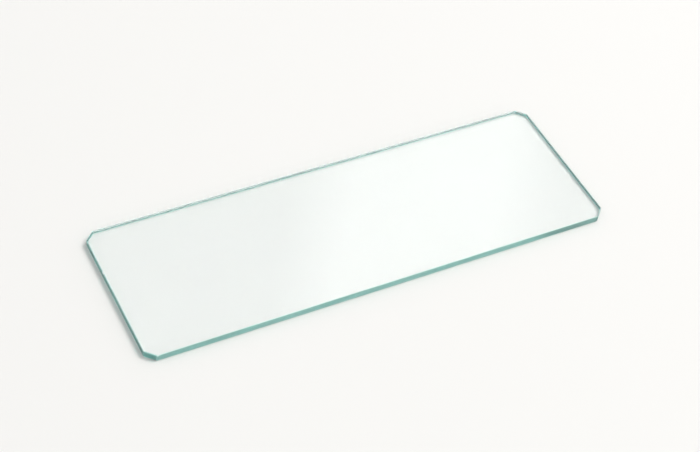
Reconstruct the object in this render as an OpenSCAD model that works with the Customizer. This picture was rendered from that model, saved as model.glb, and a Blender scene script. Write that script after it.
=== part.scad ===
// Microscope slide: one flat plate of clear glass with ground edges
// and its four corners cut off at 45 degrees.
// Units are millimetres. The plate lies on its large face: the origin is at
// the middle of the underside, +X along the slide, +Y across it, +Z up.

/* [Plate] */
// Length of the slide
slide_l = 76; // [74:0.5:78]
// Width of the slide
slide_w = 26; // [24:0.5:28]
// Thickness of the glass
slide_t = 1.1; // [0.9:0.05:1.3]

/* [Edges] */
// Leg of the 45 degree cut at each corner
corner_cut = 1.5; // [0.5:0.1:3]
// Leg of the narrow bevel ground along every large face's rim
arris = 0.12; // [0.05:0.01:0.25]

/* [Colour] */
// Tint of the glass
glass_tint = "#8fc4bb"; // [#8fc4bb, #a9d2cb, #6fb0a8]
// How solid the glass is drawn
glass_alpha = 0.45; // [0.2:0.05:1]

/* [Hidden] */

// The cut corners face each other across the plate's diagonal directions.
corner_to_corner = (slide_l + slide_w - 2 * corner_cut) / sqrt(2);
// Each pair of opposite edges: [direction it faces, distance between them]
EDGE_PAIRS = [
    [0, slide_l],
    [90, slide_w],
    [45, corner_to_corner],
    [-45, corner_to_corner],
];

// Section through a pair of opposite ground edges, with an arris above and below.
module edge_section(across) {
    half = across / 2;
    polygon([
        [-half + arris, 0],
        [half - arris, 0],
        [half, arris],
        [half, slide_t - arris],
        [half - arris, slide_t],
        [-half + arris, slide_t],
        [-half, slide_t - arris],
        [-half, arris],
    ]);
}

// Long slab whose two sides are one pair of ground edges.
module edge_slab(facing, across) {
    rotate([90, 0, facing])
        linear_extrude(height = 2 * slide_l, center = true)
            edge_section(across);
}

// The slide itself: what all four slabs have in common.
module glass_plate() {
    color(glass_tint, glass_alpha)
        intersection_for(pair = EDGE_PAIRS)
            edge_slab(pair[0], pair[1]);
}

glass_plate();
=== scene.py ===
"""A microscope slide, lying on its large face on a pale bench."""

import math

import bmesh
import bpy
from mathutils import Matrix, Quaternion, Vector, noise


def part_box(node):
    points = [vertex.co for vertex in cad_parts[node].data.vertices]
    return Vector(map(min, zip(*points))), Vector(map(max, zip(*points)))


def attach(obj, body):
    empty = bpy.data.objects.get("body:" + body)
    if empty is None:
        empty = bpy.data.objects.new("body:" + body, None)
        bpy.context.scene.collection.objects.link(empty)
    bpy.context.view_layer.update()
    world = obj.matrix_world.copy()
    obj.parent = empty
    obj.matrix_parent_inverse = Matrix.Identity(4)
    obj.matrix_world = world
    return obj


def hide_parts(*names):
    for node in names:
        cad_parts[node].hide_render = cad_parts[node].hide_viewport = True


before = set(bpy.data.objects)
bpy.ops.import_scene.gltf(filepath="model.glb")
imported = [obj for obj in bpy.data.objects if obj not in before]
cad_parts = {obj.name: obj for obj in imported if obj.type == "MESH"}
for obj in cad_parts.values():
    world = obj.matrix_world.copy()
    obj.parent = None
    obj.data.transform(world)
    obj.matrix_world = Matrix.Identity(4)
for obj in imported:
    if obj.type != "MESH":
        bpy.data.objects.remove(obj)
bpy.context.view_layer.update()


# The plate of the slide. It is cut from thin drawn sheet of clear soda-lime glass, and
# its four corners are cut off at 45 degrees. The edges are then ground on a fine wheel,
# which leaves them matt, and a narrow arris takes the sharpness off every rim.

MM = 0.001
plate_low, plate_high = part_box("glass_plate")
plate_size = plate_high - plate_low
plate_middle = (plate_low + plate_high) / 2
half_length = plate_size.x / 2
half_width = plate_size.y / 2

corner_cut = 1.5 * MM
corner_softening = 0.12 * MM
softening_steps = 2
arris = 0.12 * MM
arris_steps = 2
rim_reach = 1.5 * arris
ruling = 1.0 * MM
wheel_wander = 0.012 * MM
wander_length = 4.0 * MM
finest_gap = 0.001 * MM

# Where a flake has left the rim: the way out from the plate there, the place along the
# rim from its middle as a share of its half, and the radius of the flake.
FLAKES = [
    ((0, -1, 1), -0.955, 0.20 * MM),
    ((0, -1, 1), -0.55, 0.18 * MM),
    ((0, -1, 1), 0.31, 0.16 * MM),
    ((-1, 0, 1), 0.35, 0.24 * MM),
    ((0, 1, 1), 0.83, 0.19 * MM),
    ((1, 0, 1), -0.42, 0.17 * MM),
    ((0, 1, -1), -0.15, 0.20 * MM),
]

# A flake reaches into the rim by a share of its radius, and is drawn out along the rim.
flake_depth = 0.65
flake_length = 1.5
flake_unevenness = 0.28
flake_fineness = 4


def cut_plate():
    """The sheet cut to size, its corners cut off and every rim ground to an arris."""
    plate = bmesh.new()
    bmesh.ops.create_cube(plate, size=1)
    bmesh.ops.scale(plate, vec=plate_size, verts=plate.verts)
    bmesh.ops.translate(plate, vec=plate_middle, verts=plate.verts)
    for leg, steps in ((corner_cut, 1), (corner_softening, softening_steps)):
        upright = [e for e in plate.edges if abs(e.verts[0].co.z - e.verts[1].co.z) > arris]
        bmesh.ops.bevel(
            plate, geom=upright, offset=leg, affect="EDGES",
            segments=steps, profile=0.5, material=-1,
        )
    rims = [e for e in plate.edges if abs(e.verts[0].co.z - e.verts[1].co.z) < arris]
    bmesh.ops.bevel(
        plate, geom=rims, offset=arris, affect="EDGES",
        segments=arris_steps, profile=0.5, material=-1,
    )
    return plate


def rule_plate(plate, reach, across):
    """Rules lines over the whole plate, square to one direction, a ruling apart."""
    count = int(reach / ruling)
    for number in range(-count, count + 1):
        bmesh.ops.bisect_plane(
            plate, geom=plate.verts[:] + plate.edges[:] + plate.faces[:],
            dist=finest_gap, plane_co=across * number * ruling, plane_no=across,
        )


def wander_rim(plate):
    """Moves the edges and their arris inward, by the little that the wheel wandered."""
    for vert in plate.verts:
        outward = Vector((0, 0, 0))
        if half_width - abs(vert.co.y) < rim_reach:
            outward.y = math.copysign(1, vert.co.y)
        if half_length - abs(vert.co.x) < rim_reach:
            outward.x = math.copysign(1, vert.co.x)
        wander = noise.noise(vert.co / wander_length) - 1
        vert.co += outward * wander * wheel_wander


def make_flake(flakes, outward, share, radius):
    """Adds the uneven shell of glass that one flake took off the rim, longest along it."""
    along = Vector((abs(outward[1]), abs(outward[0]), 0))
    rim = plate_middle + (Vector(outward) + along * share) * plate_size / 2
    ball = bmesh.ops.create_icosphere(flakes, subdivisions=flake_fineness, radius=radius)
    flake = ball["verts"]
    for vert in flake:
        vert.co *= 1 + flake_unevenness * noise.noise(vert.co / radius + rim / MM)
    bmesh.ops.scale(flakes, vec=Vector((1, 1, 1)) + along * (flake_length - 1), verts=flake)
    middle = rim + Vector(outward).normalized() * radius * (1 - flake_depth)
    bmesh.ops.translate(flakes, vec=middle, verts=flake)


def make_object(name, body, flaked):
    """Turns a finished bmesh into an object, whose faces say if a flake laid them bare.

    Bevels leave the faces and their corners in a chance order, and the flakes would then
    come off a hair differently each time. So they are put in a fixed order first.
    """
    body.verts.index_update()
    faces = []
    for face in body.faces:
        corners = [vert.index for vert in face.verts]
        first = corners.index(min(corners))
        faces.append(corners[first:] + corners[:first])
    mesh = bpy.data.meshes.new(name)
    mesh.from_pydata([vert.co for vert in body.verts], [], sorted(faces))
    body.free()
    bare = mesh.attributes.new("flaked", "FLOAT", "FACE")
    for face in bare.data:
        face.value = flaked
    made = bpy.data.objects.new(name, mesh)
    bpy.context.scene.collection.objects.link(made)
    return made


plate = cut_plate()
rule_plate(plate, half_length, Vector((1, 0, 0)))
rule_plate(plate, half_width, Vector((0, 1, 0)))
wander_rim(plate)
bmesh.ops.recalc_face_normals(plate, faces=plate.faces)
flakes = bmesh.new()
for outward, share, radius in FLAKES:
    make_flake(flakes, outward, share, radius)
glass_slide = make_object("glass_slide", plate, 0.0)
lost_flakes = make_object("lost_flakes", flakes, 1.0)

# The flakes are taken off the plate, and what is left becomes the slide's own mesh.
flaking = glass_slide.modifiers.new("flaking", "BOOLEAN")
flaking.operation = "DIFFERENCE"
flaking.solver = "EXACT"
flaking.object = lost_flakes
flaked_slide = glass_slide.evaluated_get(bpy.context.evaluated_depsgraph_get())
flaked_plate = bmesh.new()
flaked_plate.from_mesh(flaked_slide.data)
bmesh.ops.remove_doubles(flaked_plate, verts=flaked_plate.verts, dist=finest_gap)
flaked_plate.to_mesh(glass_slide.data)
flaked_plate.free()
glass_slide.modifiers.clear()
bpy.data.objects.remove(lost_flakes)


class Finish:
    """A value or colour on its way through a finish. Sums and products of it add nodes."""

    def __init__(self, socket):
        self.socket = socket

    def node(self, kind, settings, values, outlet=0):
        """Adds one node of this kind to the same finish, and gives the outlet asked for."""
        tree = self.socket.id_data
        made = tree.nodes.new(kind)
        for name, setting in settings.items():
            setattr(made, name, setting)
        for name, value in values.items():
            if isinstance(value, Finish):
                tree.links.new(value.socket, made.inputs[name])
            else:
                made.inputs[name].default_value = value
        return Finish(made.outputs[outlet]) if made.outputs else None

    def outlet(self, name):
        """Another outlet of the node that this value comes from."""
        return Finish(self.socket.node.outputs[name])

    def maths(self, operation, *values):
        return self.node("ShaderNodeMath", {"operation": operation}, dict(enumerate(values)))

    def __add__(self, other):
        return self.maths("ADD", self, other)

    def __radd__(self, other):
        return self.maths("ADD", other, self)

    def __sub__(self, other):
        return self.maths("SUBTRACT", self, other)

    def __rsub__(self, other):
        return self.maths("SUBTRACT", other, self)

    def __mul__(self, other):
        return self.maths("MULTIPLY", self, other)

    def __rmul__(self, other):
        return self.maths("MULTIPLY", other, self)

    def __lt__(self, other):
        return self.maths("LESS_THAN", self, other)

    def __abs__(self):
        return self.maths("ABSOLUTE", self)

    def smaller(self, other):
        return self.maths("MINIMUM", self, other)

    def squeezed(self, x, y, z):
        """A place with its three measures multiplied, so that a pattern is squeezed."""
        return self.node("ShaderNodeVectorMath", {"operation": "MULTIPLY"}, {0: self, 1: (x, y, z)})

    def cloud(self, fineness, detail):
        """A cloudy pattern between 0 and 1 at this place, fineness lumps to the metre."""
        return self.node(
            "ShaderNodeTexNoise", {}, {"Vector": self, "Scale": fineness, "Detail": detail}, "Fac",
        )

    def between(self, first, last):
        """The colour that lies between two others, by this share."""
        return self.node("ShaderNodeMix", {"data_type": "RGBA"}, {0: self, 6: first, 7: last}, 2)


clear_glass = bpy.data.materials.new("clear_slide_glass")
clear_glass.use_nodes = True
glass_tree = clear_glass.node_tree
glass_tree.nodes.clear()
place = Finish(glass_tree.nodes.new("ShaderNodeTexCoord").outputs["Object"])

# The ground part of the surface is all that lies within an arris of the rim, and the
# little more that the wheel wandered, but for what a flake laid bare. The arris itself
# also lies close to a large face, and a softened corner lies close to two edges.
along = place.node("ShaderNodeSeparateXYZ", {}, {"Vector": place}, "X")
from_end = half_length - abs(along)
from_side = half_width - abs(along.outlet("Y"))
from_cut = (from_end + from_side - corner_cut) * (1 / math.sqrt(2))
from_face = plate_size.z / 2 - abs(along.outlet("Z") - plate_middle.z)
from_uncut = from_end.smaller(from_side)
chipped = place.node("ShaderNodeAttribute", {"attribute_name": "flaked"}, {}, "Fac")
ground_depth = arris + 2 * wheel_wander
ground = (from_uncut.smaller(from_cut) < ground_depth) * (1 - chipped)
on_arris = ground * (from_face < arris)
# These two masks mark where the darker end colour, partly painted shade, goes.
on_cut = ground * (from_cut < ground_depth)
on_end = ground * (from_end < ground_depth)
on_softening = ground * (from_uncut < corner_softening) * (from_cut < corner_softening)

# Grinding leaves fine lines that run along the rim, and a grain between them. A flake
# leaves hackle, the roughness of a fresh break. Drawing leaves the large faces with a
# very slight ripple. Each height is in metres, for a cloud that goes from 0 to 1.
cloud_middle = 0.5
lines_height = 10e-6
lines_fineness = 1 / MM
lines_squeeze = (0.1, 0.1, 3.5)
grain_height = 4e-6
grain_fineness = 7 / MM
hackle_height = 8e-6
hackle_fineness = 18 / MM
ripple_height = 4e-6
ripple_fineness = 0.12 / MM
ripple_squeeze = (0.5, 1, 1)
lines = place.squeezed(*lines_squeeze).cloud(lines_fineness, detail=4.0) - cloud_middle
grain = place.cloud(grain_fineness, detail=1.0) - cloud_middle
hackle = place.cloud(hackle_fineness, detail=2.0) - cloud_middle
ripple = place.squeezed(*ripple_squeeze).cloud(ripple_fineness, detail=1.0)
relief = (
    ground * (lines * lines_height + grain * grain_height)
    + ripple * ripple_height
    + chipped * hackle * hackle_height
)
surface_normal = relief.node(
    "ShaderNodeBump", {}, {"Strength": 1.0, "Distance": 1.0, "Height": relief}, "Normal",
)

# Ground glass lets most light out where it was scored least. The two ends and the cut
# corners are painted darker and deeper in colour than the long sides. Part of this is a
# deeper ground colour and part is painted shade. The roughness of all that isn't polished
# changes a little from patch to patch.
glass_ior = 1.515
polished_colour = (1, 1, 1, 1)
scored_side_colour = (0.38, 0.60, 0.54, 1)
smooth_side_colour = (0.56, 0.79, 0.72, 1)
# The end colours are partly painted shade, darker than the side colours above.
scored_end_colour_with_painted_shade = (0.09, 0.35, 0.32, 1)
smooth_end_colour_with_painted_shade = (0.19, 0.51, 0.46, 1)
smooth_middle = 0.5
smooth_from_lines = 2.4
smooth_from_grain = 1.6
ground_roughness = 0.31
patch_roughness = 0.10
patch_fineness = 0.9 / MM
patch_squeeze = (1, 1, 2)
smooth_share = lines * smooth_from_lines + grain * smooth_from_grain + smooth_middle
side_colour = smooth_share.between(scored_side_colour, smooth_side_colour)
end_colour_with_painted_shade = smooth_share.between(scored_end_colour_with_painted_shade, smooth_end_colour_with_painted_shade)
# Partly painted shade: the two ends and the cut corners take the darker end colour.
ground_colour = (on_cut + on_end).between(side_colour, end_colour_with_painted_shade)
patches = place.squeezed(*patch_squeeze).cloud(patch_fineness, detail=3.0)
glass_body = place.node(
    "ShaderNodeBsdfPrincipled", {},
    {
        "Base Color": ground.between(polished_colour, ground_colour),
        "Roughness": (ground + chipped) * (ground_roughness + patch_roughness * patches),
        "Normal": surface_normal, "IOR": glass_ior, "Transmission Weight": 1.0,
    },
    "BSDF",
)

# What the wheel broke loose stays in its marks as a white powder, most of all on the
# arris and on the softened corners. The hackle of a flake looks whiter still.
powder_colour = (0.80, 0.90, 0.88, 1)
powder_roughness = 0.6
powder_least = 0.05
powder_where_smooth = 0.10
powder_on_rims = 0.2
powder_in_hackle = 0.6
powder = place.node(
    "ShaderNodeBsdfPrincipled", {},
    {"Base Color": powder_colour, "Roughness": powder_roughness, "Normal": surface_normal},
    "BSDF",
)
powder_share = (
    ground * (powder_least + powder_where_smooth * smooth_share)
    + (on_arris + on_softening) * powder_on_rims
    + chipped * powder_in_hackle
)
whole_surface = place.node(
    "ShaderNodeMixShader", {}, {0: powder_share, 1: glass_body, 2: powder},
)

# Inside, the glass takes the red out of light that goes a long way through it.
tint_kept = (0.0, 0.70, 0.67, 1)
tint_density = 24.0
inside_tint = place.node(
    "ShaderNodeVolumeAbsorption", {}, {"Color": tint_kept, "Density": tint_density},
)
place.node("ShaderNodeOutputMaterial", {}, {"Surface": whole_surface, "Volume": inside_tint})

glass_slide.data.materials.append(clear_glass)
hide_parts("glass_plate")
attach(glass_slide, "root")


# The bench under the slide: a plain, pale, matt top, with an even layer of air under the
# glass no thicker than a hair.

air_gap = 0.04 * MM
bench_side = 4.0
bench_colour = (0.82, 0.812, 0.795, 1)
bench_roughness = 0.9
bench_gloss = 0.1

bench_sheet = bmesh.new()
bmesh.ops.create_grid(bench_sheet, x_segments=1, y_segments=1, size=bench_side / 2)
bmesh.ops.translate(bench_sheet, vec=(0, 0, plate_low.z - air_gap), verts=bench_sheet.verts)
bench_mesh = bpy.data.meshes.new("bench_top")
bench_sheet.to_mesh(bench_mesh)
bench_sheet.free()
bench_top = bpy.data.objects.new("bench_top", bench_mesh)
bpy.context.scene.collection.objects.link(bench_top)
bench_paint = bpy.data.materials.new("bench_paint")
bench_paint.use_nodes = True
bench_shader = bench_paint.node_tree.nodes["Principled BSDF"]
bench_shader.inputs["Base Color"].default_value = bench_colour
bench_shader.inputs["Roughness"].default_value = bench_roughness
bench_shader.inputs["Specular IOR Level"].default_value = bench_gloss
bench_mesh.materials.append(bench_paint)


# The studio round it: pale walls that give soft light, less of it from the left, and
# softboxes at a metre, each brightest in its middle. The key and the top softbox light
# the slide, and each of the others hangs where the polished face mirrors it to one side.

wall_light = 0.60
wall_fall = 0.20
wall_tint = (0.97, 0.985, 1, 1)
light_azimuth = 80
softbox_distance = 1.0
softbox_fade = 0.3
warm = (1, 0.985, 0.96)
white = (1, 0.99, 0.98)

# Each softbox has its bearing and height in degrees, its width and height in metres,
# its brightness and its tint.
SOFTBOXES = {
    "key_softbox": (light_azimuth, 58, 0.6, 0.6, 10.2, warm),
    "top_softbox": (200, 75, 0.6, 0.6, 1.4, white),
    "back_softbox": (145, 46, 0.22, 1.0, 0.85, white),
    "left_back_softbox": (219, 26, 0.22, 0.6, 1.05, white),
    "front_softbox": (4, 32, 0.22, 0.6, 1.05, white),
    "left_softbox": (273, 17, 0.14, 0.5, 0.65, white),
    "right_softbox": (48, 17, 0.22, 0.4, 0.4, white),
}


def bearing(azimuth, elevation):
    """The direction from the slide of something seen at that bearing and height."""
    turn = math.radians(azimuth)
    rise = math.radians(elevation)
    return Vector((
        math.sin(turn) * math.cos(rise),
        -math.cos(turn) * math.cos(rise),
        math.sin(rise),
    ))


def hang_softbox(name, azimuth, elevation, width, height, brightness, tint):
    """A softbox of that width and height, which faces the slide from a bearing."""
    toward = bearing(azimuth, elevation)
    lamp = bpy.data.lights.new(name, "AREA")
    lamp.shape = "RECTANGLE"
    lamp.size = width
    lamp.size_y = height
    lamp.energy = brightness * math.pi * width * height
    lamp.color = tint
    lamp.use_nodes = True
    cloth = Finish(lamp.node_tree.nodes.new("ShaderNodeNewGeometry").outputs["Parametric"])
    across = cloth.node("ShaderNodeSeparateXYZ", {}, {"Vector": cloth}, "X")
    up = across.outlet("Y")
    from_frame = across.smaller(1 - across).smaller(up.smaller(1 - up))
    glow = cloth.node(
        "ShaderNodeMapRange", {"interpolation_type": "SMOOTHSTEP"},
        {"Value": from_frame, "From Min": 0.0, "From Max": softbox_fade},
    )
    emission = lamp.node_tree.nodes["Emission"]
    lamp.node_tree.links.new(glow.socket, emission.inputs["Strength"])
    softbox = bpy.data.objects.new(name, lamp)
    softbox.location = plate_middle + toward * softbox_distance
    softbox.rotation_mode = "QUATERNION"
    softbox.rotation_quaternion = toward.to_track_quat("Z", "Y")
    bpy.context.scene.collection.objects.link(softbox)


studio = bpy.data.worlds.new("studio")
studio.use_nodes = True
wall = Finish(studio.node_tree.nodes.new("ShaderNodeTexCoord").outputs["Generated"])
lit_side = wall.node(
    "ShaderNodeVectorMath", {"operation": "DOT_PRODUCT"},
    {0: wall, 1: bearing(light_azimuth, 0)}, "Value",
)
walls = wall.node(
    "ShaderNodeBackground", {},
    {"Color": wall_tint, "Strength": lit_side * wall_fall + wall_light},
)
wall.node("ShaderNodeOutputWorld", {"is_active_output": True}, {"Surface": walls})
bpy.context.scene.world = studio
for name, hanging in SOFTBOXES.items():
    hang_softbox(name, *hanging)


# The camera, which looks down on the slide from its front left, a little tilted. Light
# may bounce many times, as it does inside glass, before a ray is given up.

view_azimuth = -30.7
view_elevation = 46.0
view_roll = 6.4
view_distance = 0.26
view_lens = 88
sensor_width = 36
nearest_seen = 0.01
farthest_seen = 20
most_bounces = 64

toward_camera = bearing(view_azimuth, view_elevation)
camera_lens = bpy.data.cameras.new("camera")
camera_lens.lens = view_lens
camera_lens.sensor_width = sensor_width
camera_lens.clip_start = nearest_seen
camera_lens.clip_end = farthest_seen
camera = bpy.data.objects.new("camera", camera_lens)
camera.location = plate_middle + toward_camera * view_distance
camera.rotation_mode = "QUATERNION"
camera.rotation_quaternion = (-toward_camera).to_track_quat("-Z", "Y") @ Quaternion(
    (0, 0, 1), math.radians(view_roll)
)
bpy.context.scene.collection.objects.link(camera)
bpy.context.scene.camera = camera

scene = bpy.context.scene
scene.view_settings.view_transform = "Standard"
scene.view_settings.look = "None"
scene.cycles.blur_glossy = 0
scene.cycles.max_bounces = most_bounces
scene.cycles.glossy_bounces = most_bounces
scene.cycles.transmission_bounces = most_bounces
